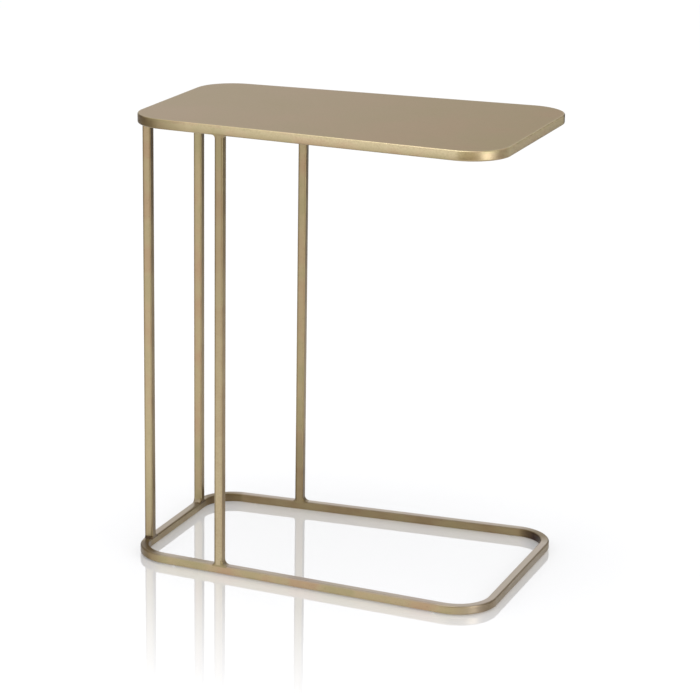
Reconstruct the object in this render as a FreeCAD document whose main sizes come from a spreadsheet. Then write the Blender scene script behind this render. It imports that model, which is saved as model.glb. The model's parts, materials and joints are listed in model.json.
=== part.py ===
import FreeCAD, Part
import math
import os
from dataclasses import dataclass

import Sketcher

# C-shaped side table: two rings of bent square tube, four uprights at the narrow end and a sheet top.
# Millimetres.  +Z is up, the floor is z = 0, the spine (closed) end is at -X and the open end at +X,
# and the table is its own mirror image in the XZ plane.  The ring seen from above is a tapered
# rectangle with rounded corners, narrower at the spine end.

DIMENSIONS = {
    # whole table
    "table_height": 610.0,  # floor to the top of the sheet
    "table_length": 517.0,  # spine end to open end, over the outer faces
    "spine_end_width": 279.0,  # between the long sides, carried on to the spine end
    "open_end_width": 335.0,  # between the long sides, carried on to the open end
    "corner_radius": 55.0,  # outer face of every bend
    # square tube
    "tube_size": 12.0,
    "tube_wall": 1.2,
    "tube_corner_flat": 1.0,  # eased outer corners of the tube, measured along each face
    "closing_weld_gap": 1.5,  # butt joint that closes each bent ring
    # sheet top
    "sheet_thickness": 1.2,
    "sheet_edge_setback": 2.0,  # outer faces of the top ring to the edge of the sheet
    "seam_dressing_radius": 1.8,  # upper edge of the seam weld, ground round
    # uprights
    "side_upright_setback": 137.0,  # spine end to the axis of the front and back uprights
    "end_upright_bend_gap": 0.5,  # start of a bend to the face of the end upright beside it
    # weld fillets of the front and back uprights, towards each end of the table
    "side_foot_leg_to_open": 7.0,
    "side_foot_leg_to_spine": 2.5,
    "side_head_leg_to_open": 3.0,
    "side_head_leg_to_spine": 4.5,
    # weld fillets of the end uprights, towards the middle of the rail and towards the bend
    "end_foot_leg_to_middle": 6.0,
    "end_foot_leg_to_bend": 2.5,
    "end_head_leg_to_middle": 3.0,
    "end_head_leg_to_bend": 2.5,
    # push-in nylon glides
    "glide_height": 1.5,  # floor to the underside of the base ring
    "glide_head_radius": 4.2,
    "glide_edge_chamfer": 0.5,
    "glide_hole_radius": 2.5,
    "glide_stem_clearance": 0.1,
    "glide_stem_length": 6.5,  # from the seat of the head to the tip
    "glide_barb_play": 0.2,  # between the tube's wall and the barb behind it
    "glide_barb_radius": 2.8,
    "glide_tip_radius": 1.8,
    "glide_spine_setback": 70.0,  # spine end to the axis of the glides there
    "glide_open_setback": 70.0,  # open end to the axis of the glides there
}

HALF_TUBE = "(Dims.tube_size / 2)"
# change of half width per length along the table, and length of the slanted side per length along it
TAPER = "((Dims.open_end_width - Dims.spine_end_width) / (2 * Dims.table_length))"
STRETCH = f"sqrt(1 + {TAPER} ^ 2)"
SIDE_ANGLE = f"atan({TAPER})"

BASE_RING_TOP = "(Dims.glide_height + Dims.tube_size)"
SHEET_UNDERSIDE = "(Dims.table_height - Dims.sheet_thickness)"
TOP_RING_UNDERSIDE = f"({SHEET_UNDERSIDE} - Dims.tube_size)"

START, END, CENTRE = 1, 2, 3  # which point of a sketch element a constraint takes
ORIGIN = -1  # a sketch's own origin
CLOCKWISE, ANTICLOCKWISE = -1, 1

doc = FreeCAD.newDocument("side_table")
sheet = doc.addObject("Spreadsheet::Sheet", "Dims")
for row, (alias, size) in enumerate(DIMENSIONS.items(), start=1):
    sheet.set(f"A{row}", alias)
    sheet.set(f"B{row}", str(size))
    sheet.setAlias(f"B{row}", alias)
doc.recompute()


def value(expression):
    """The number that an expression over the sheet gives."""
    return float(sheet.evalExpression(str(expression)))


def point(place):
    """Sketch point for a pair of expressions."""
    across, up = place
    return FreeCAD.Vector(value(across), value(up), 0)


def from_spine_end(along):
    """X of a place that lies a distance along the table from the spine end."""
    return f"({along} - Dims.table_length / 2)"


def half_width(along, inset):
    """Y of the line that runs inset inside the outer face of a long side, at a distance along the table."""
    return f"(Dims.spine_end_width / 2 + {TAPER} * {along} - {STRETCH} * {inset})"


# where the spine end rail stops being straight, and the axis of the end upright beside that bend
BEND_START = f"({half_width(0, 0)} - Dims.corner_radius * tan((90deg - {SIDE_ANGLE}) / 2))"
END_UPRIGHT_Y = f"({BEND_START} - Dims.end_upright_bend_gap - {HALF_TUBE})"


# ---- sketches -------------------------------------------------------------------------------------


def new_body(label):
    """Empty body whose label names its file."""
    body = doc.addObject("PartDesign::Body", label)
    body.Label = label
    return body


def new_sketch(body, name, role, offset="0"):
    """Sketch on one of the body's own origin planes, moved along the plane's normal by offset."""
    sketch = body.newObject("Sketcher::SketchObject", name)
    support = next(feature for feature in body.Origin.OriginFeatures if feature.Role == role)
    sketch.AttachmentSupport = [(support, "")]
    sketch.MapMode = "FlatFace"
    sketch.setExpression("AttachmentOffset.Base.z", offset)
    return sketch


def drive(sketch, constraint, expression):
    """Add a dimension and bind it to the sheet."""
    index = sketch.addConstraint(constraint)
    sketch.setExpression(f"Constraints[{index}]", expression)


def tie(sketch, element, end, place):
    """Bind both coordinates of a point of the sketch."""
    at = point(place)
    across, up = place
    drive(sketch, Sketcher.Constraint("DistanceX", ORIGIN, START, element, end, at.x), across)
    drive(sketch, Sketcher.Constraint("DistanceY", ORIGIN, START, element, end, at.y), up)


def join(sketch, before, before_end, after, after_end):
    """Make two ends of a chain meet."""
    sketch.addConstraint(Sketcher.Constraint("Coincident", before, before_end, after, after_end))


def rounded_chain(sketch, corners, radius, ends=()):
    """Draw straight lines through the corners, closed or between two free ends, and round each corner."""
    stops = [ends[0], *corners, ends[1]] if ends else [corners[-1], *corners]
    points = [point(stop) for stop in stops]
    lines = [sketch.addGeometry(Part.LineSegment(a, b), False) for a, b in zip(points, points[1:])]
    following = lines[1:] if ends else [*lines[1:], lines[0]]
    meeting = list(zip(lines, following, corners))
    for before, after, _ in meeting:
        join(sketch, before, END, after, START)
    for before, _, corner in meeting:
        arc = sketch.GeometryCount
        sketch.fillet(before, END, value(radius), True, True)
        drive(sketch, Sketcher.Constraint("Radius", arc, value(radius)), radius)
        tie(sketch, arc + 1, START, corner)
    if ends:
        tie(sketch, lines[0], START, ends[0])
        tie(sketch, lines[-1], END, ends[1])


def draw_tube_outside(sketch, centre):
    """Draw the outside of the square tube, with its eased corners."""
    across, up = centre
    flat = f"({HALF_TUBE} - Dims.tube_corner_flat)"
    steps = [(-1, -1), (1, -1), (1, 1), (-1, 1)]
    stops = []
    for side_x, side_y in steps:
        on_side = (f"{across} + {side_x} * {HALF_TUBE}", f"{up} + {side_y} * {flat}")
        on_level = (f"{across} + {side_x} * {flat}", f"{up} + {side_y} * {HALF_TUBE}")
        stops += [on_side, on_level] if side_x == side_y else [on_level, on_side]
    profile(sketch, stops)


def draw_tube(sketch, centre):
    """Draw the hollow section of the square tube."""
    draw_tube_outside(sketch, centre)
    across, up = centre
    bore = f"({HALF_TUBE} - Dims.tube_wall)"
    low_x, high_x = f"{across} - {bore}", f"{across} + {bore}"
    low_y, high_y = f"{up} - {bore}", f"{up} + {bore}"
    profile(sketch, [(low_x, low_y), (high_x, low_y), (high_x, high_y), (low_x, high_y)])


def draw_circle(sketch, centre, radius):
    """Draw a circle about a centre."""
    circle = sketch.addGeometry(Part.Circle(point(centre), FreeCAD.Vector(0, 0, 1), value(radius)), False)
    drive(sketch, Sketcher.Constraint("Radius", circle, value(radius)), radius)
    tie(sketch, circle, CENTRE, centre)


def profile(sketch, stops, bends=None):
    """Draw a closed profile through stops; bends gives some of its edges a radius and a way to turn."""
    points = [point(stop) for stop in stops]
    edges = []
    for number, (a, b) in enumerate(zip(points, points[1:] + points[:1])):
        if not bends or number not in bends:
            edges.append((sketch.addGeometry(Part.LineSegment(a, b), False), START, END))
            continue
        radius, turn = bends[number]
        chord = b - a
        rise = value(radius) - math.sqrt(value(radius) ** 2 - chord.Length**2 / 4)
        outward = FreeCAD.Vector(chord.y, -chord.x, 0).normalize() * turn
        arc = sketch.addGeometry(Part.Arc(a, (a + b) / 2 + outward * rise, b), False)
        drive(sketch, Sketcher.Constraint("Radius", arc, value(radius)), radius)
        # a sketch keeps every arc anticlockwise, so a clockwise one begins at its far end
        edges.append((arc, START, END) if turn == ANTICLOCKWISE else (arc, END, START))
    for (before, _, before_end), (after, after_start, _) in zip(edges, edges[1:] + edges[:1]):
        join(sketch, before, before_end, after, after_start)
    for (element, first, _), stop in zip(edges, stops):
        tie(sketch, element, first, stop)


def tapered_corners(inset):
    """Corners of the tapered rectangle that lies inset inside the outer faces, anticlockwise."""
    far = f"(Dims.table_length - {inset})"
    spine_x, spine_y = from_spine_end(inset), half_width(inset, inset)
    open_x, open_y = from_spine_end(far), half_width(far, inset)
    return [(spine_x, f"-{spine_y}"), (open_x, f"-{open_y}"), (open_x, open_y), (spine_x, spine_y)]


def outline(sketch, inset="0"):
    """Draw the table's outline from above, inset inside the outer faces."""
    rounded_chain(sketch, tapered_corners(inset), f"(Dims.corner_radius - {inset})")


# ---- features -------------------------------------------------------------------------------------


def feature(body, kind, name, sketch, **settings):
    """Add a feature made from a sketch, then bring the body up to date."""
    made = body.newObject(kind, name)
    made.Profile = sketch
    for setting, choice in settings.items():
        setattr(made, setting, choice)
    body.Tip = made
    doc.recompute()
    return made


def pad(body, name, sketch, length, **settings):
    """Pad a sketch along its normal."""
    made = feature(body, "PartDesign::Pad", name, sketch, **settings)
    made.setExpression("Length", length)
    doc.recompute()
    return made


def cut_through(body, name, sketch, **settings):
    """Pocket a sketch through everything on one side of it, or on both."""
    return feature(body, "PartDesign::Pocket", name, sketch, Type="ThroughAll", **settings)


def place(body, x, y, z, yaw="0", roll="0"):
    """Bind the body's place and how it is turned."""
    body.setExpression("Placement", f"placement(vector({x}; {y}; {z}); rotation({yaw}; 0; {roll}))")


# ---- the rings ------------------------------------------------------------------------------------


def make_ring(label, underside):
    """Square tube bent into a ring, left open by the width of its closing weld at the spine end."""
    axis_height = f"({underside} + {HALF_TUBE})"
    half_gap = "Dims.closing_weld_gap / 2"
    ring = new_body(label)
    axis = new_sketch(ring, f"{label}_axis", "XY_Plane", axis_height)
    start = (from_spine_end(HALF_TUBE), f"-{half_gap}")
    finish = (from_spine_end(HALF_TUBE), half_gap)
    rounded_chain(axis, tapered_corners(HALF_TUBE), f"(Dims.corner_radius - {HALF_TUBE})", (start, finish))
    section = new_sketch(ring, f"{label}_section", "XZ_Plane", half_gap)
    draw_tube(section, (from_spine_end(HALF_TUBE), axis_height))
    doc.recompute()
    feature(ring, "PartDesign::AdditivePipe", f"{label}_bent_tube", section, Spine=axis)
    return ring


def make_closing_weld(label, underside):
    """Weld metal in the butt joint of a ring, in line with the wall of the tube."""
    weld = new_body(label)
    section = new_sketch(weld, f"{label}_section", "XZ_Plane", "-Dims.closing_weld_gap / 2")
    draw_tube(section, (from_spine_end(HALF_TUBE), f"({underside} + {HALF_TUBE})"))
    pad(weld, f"{label}_bead", section, "Dims.closing_weld_gap")
    return weld


def glide_places():
    """Label and axis of each glide, on the middle line of a long rail."""
    setbacks = {"spine": "Dims.glide_spine_setback", "open": "(Dims.table_length - Dims.glide_open_setback)"}
    for end, along in setbacks.items():
        across = half_width(along, HALF_TUBE)
        yield f"glide_front_{end}", from_spine_end(along), f"(-{across})"
        yield f"glide_back_{end}", from_spine_end(along), across


def drill_glide_holes(ring):
    """Open the lower wall of the base ring for the stems of the glides."""
    holes = new_sketch(ring, "glide_holes", "XY_Plane", "Dims.glide_height")
    for _, x, y in glide_places():
        draw_circle(holes, (x, y), "Dims.glide_hole_radius")
    drilled = feature(ring, "PartDesign::Pocket", "glide_hole_drilling", holes, Reversed=True)
    drilled.setExpression("Length", HALF_TUBE)


def make_glide(label, x, y):
    """Nylon glide: a low round head under the tube, and a barbed stem that snaps in behind the tube's wall."""
    glide = new_body(label)
    section = new_sketch(glide, f"{label}_section", "XZ_Plane")
    head, chamfer = "Dims.glide_head_radius", "Dims.glide_edge_chamfer"
    stem = "(Dims.glide_hole_radius - Dims.glide_stem_clearance)"
    barb_height = "(Dims.glide_height + Dims.tube_wall + Dims.glide_barb_play)"
    tip_height = "(Dims.glide_height + Dims.glide_stem_length)"
    stops = [
        ("0", "0"),
        (f"{head} - {chamfer}", "0"),
        (head, chamfer),
        (head, "Dims.glide_height"),
        (stem, "Dims.glide_height"),
        (stem, barb_height),
        ("Dims.glide_barb_radius", barb_height),
        ("Dims.glide_tip_radius", tip_height),
        ("0", tip_height),
    ]
    profile(section, stops)
    doc.recompute()
    turned = feature(glide, "PartDesign::Revolution", f"{label}_turned", section)
    turned.ReferenceAxis = (section, ["V_Axis"])
    place(glide, x, y, "0")
    return glide


# ---- the sheet top --------------------------------------------------------------------------------


def make_top_plate():
    """Sheet that lies on the flat of the top ring, its edge set back for the seam weld."""
    plate = new_body("top_plate")
    blank = new_sketch(plate, "top_plate_outline", "XY_Plane", SHEET_UNDERSIDE)
    outline(blank, "Dims.sheet_edge_setback")
    pad(plate, "top_plate_sheet", blank, "Dims.sheet_thickness")
    return plate


def make_edge_seam_weld():
    """Weld all round the rim, from the sheet's edge out over the tube's corner, ground flush and round."""
    label = "top_edge_seam_weld"
    corner, dressing, setback = "Dims.tube_corner_flat", "Dims.seam_dressing_radius", "Dims.sheet_edge_setback"
    seam = new_body(label)
    run = new_sketch(seam, f"{label}_run", "XY_Plane", SHEET_UNDERSIDE)
    outline(run, setback)
    section = new_sketch(seam, f"{label}_section", "XZ_Plane")
    stops = [
        (from_spine_end(setback), "Dims.table_height"),
        (from_spine_end(dressing), "Dims.table_height"),
        (from_spine_end(0), f"(Dims.table_height - {dressing})"),
        (from_spine_end(0), f"({SHEET_UNDERSIDE} - {corner})"),
        (from_spine_end(corner), SHEET_UNDERSIDE),
        (from_spine_end(setback), SHEET_UNDERSIDE),
    ]
    profile(section, stops, {1: (dressing, ANTICLOCKWISE)})
    doc.recompute()
    feature(seam, "PartDesign::AdditivePipe", f"{label}_bead", section, Spine=run)
    return seam


# ---- the uprights and their welds -----------------------------------------------------------------


@dataclass(frozen=True)
class Upright:
    """Where an upright stands, which way its rail runs, and which sizes its weld fillets take."""

    label: str
    x: str
    y: str
    yaw: str  # turns local +X to run along the rail
    family: str  # first word of the names of its weld sizes
    ahead: str  # where local +X points, as the weld sizes name it
    behind: str


def all_uprights():
    """The front and back uprights on the long rails, then the two on the spine end rail."""
    setback = "Dims.side_upright_setback"
    side_x, side_y = from_spine_end(setback), half_width(setback, HALF_TUBE)
    end_x = from_spine_end(HALF_TUBE)
    return [
        Upright("front_upright", side_x, f"(-{side_y})", f"(-{SIDE_ANGLE})", "side", "open", "spine"),
        Upright("back_upright", side_x, side_y, SIDE_ANGLE, "side", "open", "spine"),
        Upright("end_upright_front", end_x, f"(-{END_UPRIGHT_Y})", "90", "end", "middle", "bend"),
        Upright("end_upright_back", end_x, END_UPRIGHT_Y, "(-90)", "end", "middle", "bend"),
    ]


def make_upright(upright):
    """Square tube, sawn square, standing between the two rings."""
    body = new_body(upright.label)
    section = new_sketch(body, f"{upright.label}_section", "XY_Plane")
    draw_tube(section, ("0", "0"))
    pad(body, f"{upright.label}_tube", section, f"{TOP_RING_UNDERSIDE} - {BASE_RING_TOP}")
    place(body, upright.x, upright.y, BASE_RING_TOP, upright.yaw)
    return body


def weld_profile(sketch, ahead, behind):
    """Side view of the weld: a hollow fillet each side of the upright, feathered under its corners."""
    corner = "Dims.tube_corner_flat"
    stops = [
        (HALF_TUBE, f"-{corner}"),
        (f"{HALF_TUBE} + {ahead}", "0"),
        (HALF_TUBE, ahead),
        (f"{HALF_TUBE} - {corner}", "0"),
        (f"{corner} - {HALF_TUBE}", "0"),
        (f"-{HALF_TUBE}", behind),
        (f"-{HALF_TUBE} - {behind}", "0"),
        (f"-{HALF_TUBE}", f"-{corner}"),
    ]
    profile(sketch, stops, {1: (ahead, CLOCKWISE), 5: (behind, CLOCKWISE)})


def make_upright_weld(upright, level):
    """Weld round one end of an upright, ground flush with the rail's faces."""
    label = f"{upright.label}_{level}_weld"
    ahead = f"Dims.{upright.family}_{level}_leg_to_{upright.ahead}"
    behind = f"Dims.{upright.family}_{level}_leg_to_{upright.behind}"
    weld = new_body(label)
    side_view = new_sketch(weld, f"{label}_side_view", "XZ_Plane")
    weld_profile(side_view, ahead, behind)
    pad(weld, f"{label}_bead", side_view, "Dims.tube_size", SideType="Symmetric")
    post = new_sketch(weld, f"{label}_post", "XY_Plane")
    draw_tube_outside(post, ("0", "0"))
    cut_through(weld, f"{label}_round_post", post, Reversed=True)
    rail = new_sketch(weld, f"{label}_rail", "YZ_Plane")
    draw_tube_outside(rail, ("0", f"(-{HALF_TUBE})"))
    cut_through(weld, f"{label}_on_rail", rail, SideType="Symmetric")
    if level == "foot":
        place(weld, upright.x, upright.y, BASE_RING_TOP, upright.yaw)
    else:
        place(weld, upright.x, upright.y, TOP_RING_UNDERSIDE, upright.yaw, "180")
    return weld


# ---- the table ------------------------------------------------------------------------------------


def make_table():
    """Every sub-part, from the floor up."""
    base_ring = make_ring("base_ring", "Dims.glide_height")
    drill_glide_holes(base_ring)
    parts = [base_ring, make_closing_weld("base_ring_closing_weld", "Dims.glide_height")]
    parts += [make_glide(label, x, y) for label, x, y in glide_places()]
    for upright in all_uprights():
        parts.append(make_upright(upright))
        parts += [make_upright_weld(upright, level) for level in ("foot", "head")]
    parts.append(make_ring("top_ring", TOP_RING_UNDERSIDE))
    parts.append(make_closing_weld("top_ring_closing_weld", TOP_RING_UNDERSIDE))
    parts += [make_edge_seam_weld(), make_top_plate()]
    doc.recompute()
    return parts


def check(parts):
    """Stop if any object failed or any sub-part isn't a sound solid."""
    for item in doc.Objects:
        if {"Invalid", "Error"} & set(item.State):
            raise RuntimeError(f"{item.Label} failed: {item.State}")
    for part in parts:
        if part.Shape.isNull() or not part.Shape.isValid() or not part.Shape.Solids:
            raise RuntimeError(f"{part.Label} has no valid solid")


table = make_table()
check(table)
os.makedirs("parts", exist_ok=True)
for part in table:
    part.Shape.exportStep(f"parts/{part.Label}.step")
    box = part.Shape.BoundBox
    print(f"{part.Label:32s} {len(part.Shape.Solids)} solid {part.Shape.Volume:12.2f} mm3"
          f"  z {box.ZMin:7.2f} to {box.ZMax:7.2f}")
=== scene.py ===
"""C-shaped side table: two rings of bent square tube, four uprights at the narrow end and a sheet top.

The steel is welded, plated with brass, brushed, aged to a soft bronze gold and lacquered.  Each piece is a
profile carried along a path, or a surface worked out on a grid, from sizes in millimetres.
"""

import json
import logging
import math
from collections.abc import Callable, Sequence
from dataclasses import dataclass, field
from enum import Enum

import bpy
import numpy as np
from mathutils import Matrix


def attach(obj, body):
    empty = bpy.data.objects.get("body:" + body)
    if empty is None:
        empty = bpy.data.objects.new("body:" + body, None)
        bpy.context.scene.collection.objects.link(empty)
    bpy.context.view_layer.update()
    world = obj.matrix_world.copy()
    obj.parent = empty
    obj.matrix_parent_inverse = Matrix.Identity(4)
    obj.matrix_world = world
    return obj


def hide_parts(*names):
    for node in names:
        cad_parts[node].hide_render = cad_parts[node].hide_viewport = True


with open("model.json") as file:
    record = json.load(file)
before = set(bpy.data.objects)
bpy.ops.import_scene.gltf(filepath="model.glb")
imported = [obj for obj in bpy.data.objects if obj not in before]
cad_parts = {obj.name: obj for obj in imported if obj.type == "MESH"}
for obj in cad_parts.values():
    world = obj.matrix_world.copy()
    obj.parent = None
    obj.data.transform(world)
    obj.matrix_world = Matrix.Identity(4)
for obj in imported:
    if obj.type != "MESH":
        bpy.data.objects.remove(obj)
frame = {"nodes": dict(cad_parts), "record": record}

log = logging.getLogger("side_table")

Tree = bpy.types.NodeTree
Node = bpy.types.Node
Source = bpy.types.NodeSocket | Node  # what feeds an input: a node stands for its first output
Material = bpy.types.Material
Piece = bpy.types.Object
Pieces = dict[str, Piece]  # by the CAD node that each piece stands for
Marks = dict[str, np.ndarray]  # how brown, and how much painted shade, painted highlight and painted sheen each vertex takes, 0 to 1, by attribute name
Spot = tuple[float, float]
Place = tuple[float, float, float]
Curve = tuple[Spot, ...]  # a line of straight pieces, by where it is and how much it gives there
Stroke = tuple[np.ndarray, np.ndarray]  # points and normals of a part of a section, (K, 2) each

MM = 0.001  # metres
TINY = 1e-6  # millimetres
BODY = "root"  # the table has no joints, so all of it is one body
Z_AXIS = np.array([0.0, 0.0, 1.0])
MIX_UNDER, MIX_OVER, MIX_RESULT = 6, 7, 2  # the sockets of a Mix node that hold colours
SMOOTH_BELOW = math.radians(40)  # edges that turn by less are shaded round


def follow(curve: Curve, at: np.ndarray) -> np.ndarray:
    """Amount that a curve gives at each place, level beyond its ends."""
    return np.interp(at, *zip(*curve))


def clamp(amount: np.ndarray) -> np.ndarray:
    """Amount held between 0 and 1."""
    return np.clip(amount, 0, 1)


# ---- colours and nodes ----


def linear(hex_colour: str) -> tuple[float, float, float, float]:
    """Turn an sRGB hex colour into the linear values that shaders take.

    Args:
        hex_colour: six hex digits, such as "B5A67C".

    Returns:
        Linear red, green and blue, and full opacity.
    """
    shares = [int(hex_colour[i : i + 2], 16) / 255 for i in (0, 2, 4)]
    straight = [s / 12.92 if s <= 0.04045 else ((s + 0.055) / 1.055) ** 2.4 for s in shares]
    return (*straight, 1.0)


def per_metre(pitch_mm: float) -> float:
    """Pattern scale that repeats about once in pitch_mm."""
    return 1 / (pitch_mm * MM)


def add(
    tree: Tree,
    kind: str,
    inputs: dict[str | int, object] | None = None,
    stops: list[tuple[float, str]] | None = None,
    **settings: object,
) -> Node:
    """Add a node, set it up and link it.

    Args:
        tree: the node tree that gets the node.
        kind: the node's type name without its "ShaderNode".
        inputs: socket name or number to a value, or to what feeds it.
        stops: position and hex colour of each stop of a colour ramp, lowest first.
        settings: the node's own properties.

    Returns:
        The new node.
    """
    node = tree.nodes.new(f"ShaderNode{kind}")
    for name, choice in settings.items():
        setattr(node, name, choice)
    for socket, source in (inputs or {}).items():
        if isinstance(source, Node):
            source = source.outputs[0]
        if isinstance(source, bpy.types.NodeSocket):
            tree.links.new(source, node.inputs[socket])
        else:
            node.inputs[socket].default_value = source
    for index, (position, colour) in enumerate(stops or []):
        elements = node.color_ramp.elements
        element = elements[index] if index < len(elements) else elements.new(position)
        element.position, element.color = position, linear(colour)
    return node


def new_material(name: str) -> tuple[Material, Tree]:
    """Make a material without nodes.

    Args:
        name: its name.

    Returns:
        The material and its empty tree.
    """
    material = bpy.data.materials.new(name)
    material.use_nodes = True
    material.node_tree.nodes.clear()
    return material, material.node_tree


# ---- finishes ----


class Grain(Enum):
    """Which way the abrasive ran over a surface."""

    ALONG_TUBE = "along_tube"  # belt brushed, in the piece's own UV map
    ALL_WAYS = "all_ways"  # random orbital sander or flap disc


@dataclass(frozen=True)
class AgedBrass:
    """Brass plate on steel, abraded, aged brown and lacquered, with painted shade, highlights and sheen in
    its colour.

    Its aged tone drifts slowly between gold, olive and rose.  The abrasive gives a fine grain that blurs
    what the metal mirrors, and the meshes' marks lay a painted highlight, painted sheen and painted shade on
    it.
    """

    name: str
    gold: str
    olive: str
    rose: str
    grain: Grain
    roughness: float
    patina_patch_mm: float
    rubbed: str = "E6D6B0"  # painted highlight: bright cream laid on edges and faces where light would catch them
    brown: str = "7E6D50"  # the brown of aged metal, and of the painted shade on side, inner and lower faces
    black_brown: str = "3C2C26"  # the brown at its darkest: darker bends at the narrow end, and painted shade inside the open end's bends and on its back bend
    grey: str = "AEA49C"  # painted sheen: a grey reflection laid on faces that look up, on the open end, and on the sheet's spine end
    edge_tint: str = "FFFFFF"
    roughness_spread: float = 0.10
    drift: float = 0.6  # how far the tone leaves the plain gold
    tones_at: Place = (0.36, 0.50, 0.64)  # height of the slow noise where olive, gold and rose are pure
    brown_full_at: float = 0.5  # mark from which the brown of aged metal and painted shade hides the gold, and darkens beyond
    fleck_mm: float = 2.2
    fleck_from: float = 0.60  # height of the fine noise where a fleck begins
    fleck_full: float = 0.78
    fleck_share: float = 0.35
    highlight_fray: float = 0.7
    sheen_fray: float = 0.3
    patina_and_shade_fray: float = 0.5
    grain_pitch_mm: float = 0.5  # real marks are near 0.1 mm, drawn coarser so that they show
    grain_run_mm: float = 60.0
    grain_depth_mm: float = 0.004
    hammer_mm: float = 28.0  # the slow unevenness of hand-dressed metal
    hammer_depth_mm: float = 0.02

    def build(self) -> Material:
        """Make the material.

        Returns:
            The material.
        """
        material, tree = new_material(self.name)
        place = add(tree, "TexCoord")
        # how large each noise is, and how many finer ones it carries
        sizes = [(self.patina_patch_mm, 3.0), (self.fleck_mm, 2.0), (self.hammer_mm, 1.0)]
        spot = place.outputs["Object"]
        patina, flecks, hammer = (
            add(tree, "TexNoise", {"Vector": spot, "Scale": per_metre(size), "Detail": detail})
            for size, detail in sizes
        )
        grain = self._grain(tree, place)
        least, most = self.roughness - self.roughness_spread, self.roughness + self.roughness_spread
        roughness = add(tree, "MapRange", {"Value": grain, "To Min": least, "To Max": most})
        slow = {"Height": hammer, "Distance": self.hammer_depth_mm * MM, "Strength": 1.0}
        dressed = add(tree, "Bump", slow)
        fine = {"Height": grain, "Distance": self.grain_depth_mm * MM, "Strength": 1.0, "Normal": dressed}
        metal = {
            "Base Color": self._colour(tree, patina, flecks),
            "Metallic": 1.0,
            "Roughness": roughness,
            "Specular Tint": linear(self.edge_tint),
            "Normal": add(tree, "Bump", fine),
        }
        add(tree, "OutputMaterial", {"Surface": add(tree, "BsdfPrincipled", metal)})
        return material

    def _grain(self, tree: Tree, place: Node) -> Source:
        """Marks of the abrasive: fine noise, drawn out along the tube where a belt ran along it.

        Args:
            tree: the node tree.
            place: the Texture Coordinate node.

        Returns:
            The marks' height, 0 to 1.
        """
        pitch = per_metre(self.grain_pitch_mm)
        noise = {"Vector": place.outputs["Object"], "Scale": pitch, "Detail": 4.0}
        if self.grain is Grain.ALONG_TUBE:
            drawn_out = {"Vector": place.outputs["UV"], "Scale": (per_metre(self.grain_run_mm), pitch, 1.0)}
            run = add(tree, "Mapping", drawn_out)
            noise = {"Vector": run, "Scale": 1.0, "Detail": 3.0}
        return add(tree, "TexNoise", noise)

    def _colour(self, tree: Tree, patina: Source, flecks: Source) -> Source:
        """Colour of the plate, in layers that each cover the ones under them by a share.

        From the gold up: the drifting tones, tiny dark flecks, a painted highlight, a painted sheen, and the
        brown of aged metal and painted shade.

        Args:
            tree: the node tree.
            patina: slow noise that the tones follow.
            flecks: fine noise that the flecks follow.

        Returns:
            The colour.
        """
        drifting = list(zip(self.tones_at, (self.olive, self.gold, self.rose)))
        flecked = {
            "Value": flecks,
            "From Min": self.fleck_from,
            "From Max": self.fleck_full,
            "To Max": self.fleck_share,
        }
        left_brown = self._frayed(tree, "patina", patina, self.patina_and_shade_fray)
        darkening = [(self.brown_full_at, self.brown), (1.0, self.black_brown)]
        brown_and_shade = {"Value": left_brown, "From Max": self.brown_full_at}
        layers = [
            (self.drift, add(tree, "ValToRGB", {"Fac": patina}, drifting)),
            (add(tree, "MapRange", flecked), linear(self.brown)),
            # a painted highlight, a painted sheen, then the brown of aged metal and painted shade
            (self._frayed(tree, "rubbed", flecks, self.highlight_fray), linear(self.rubbed)),
            (self._frayed(tree, "bloom", patina, self.sheen_fray), linear(self.grey)),
            (add(tree, "MapRange", brown_and_shade), add(tree, "ValToRGB", {"Fac": left_brown}, darkening)),
        ]
        colour = linear(self.gold)
        for share, layer in layers:
            blend = {"Factor": share, MIX_UNDER: colour, MIX_OVER: layer}
            colour = add(tree, "Mix", blend, data_type="RGBA").outputs[MIX_RESULT]
        return colour

    @staticmethod
    def _frayed(tree: Tree, name: str, noise: Source, fray: float) -> Source:
        """Read a mesh's own marks and fray them.

        Args:
            tree: the node tree.
            name: the mesh attribute.
            noise: what frays it, 0 to 1 about 0.5.
            fray: how much of the noise it takes.

        Returns:
            The source of mark x (1 + fray (2 noise - 1)).
        """
        mark = add(tree, "Attribute", attribute_name=name).outputs["Fac"]
        gain = add(tree, "MapRange", {"Value": noise, "To Min": 1 - fray, "To Max": 1 + fray})
        return add(tree, "Math", {0: mark, 1: gain}, operation="MULTIPLY")


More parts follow.
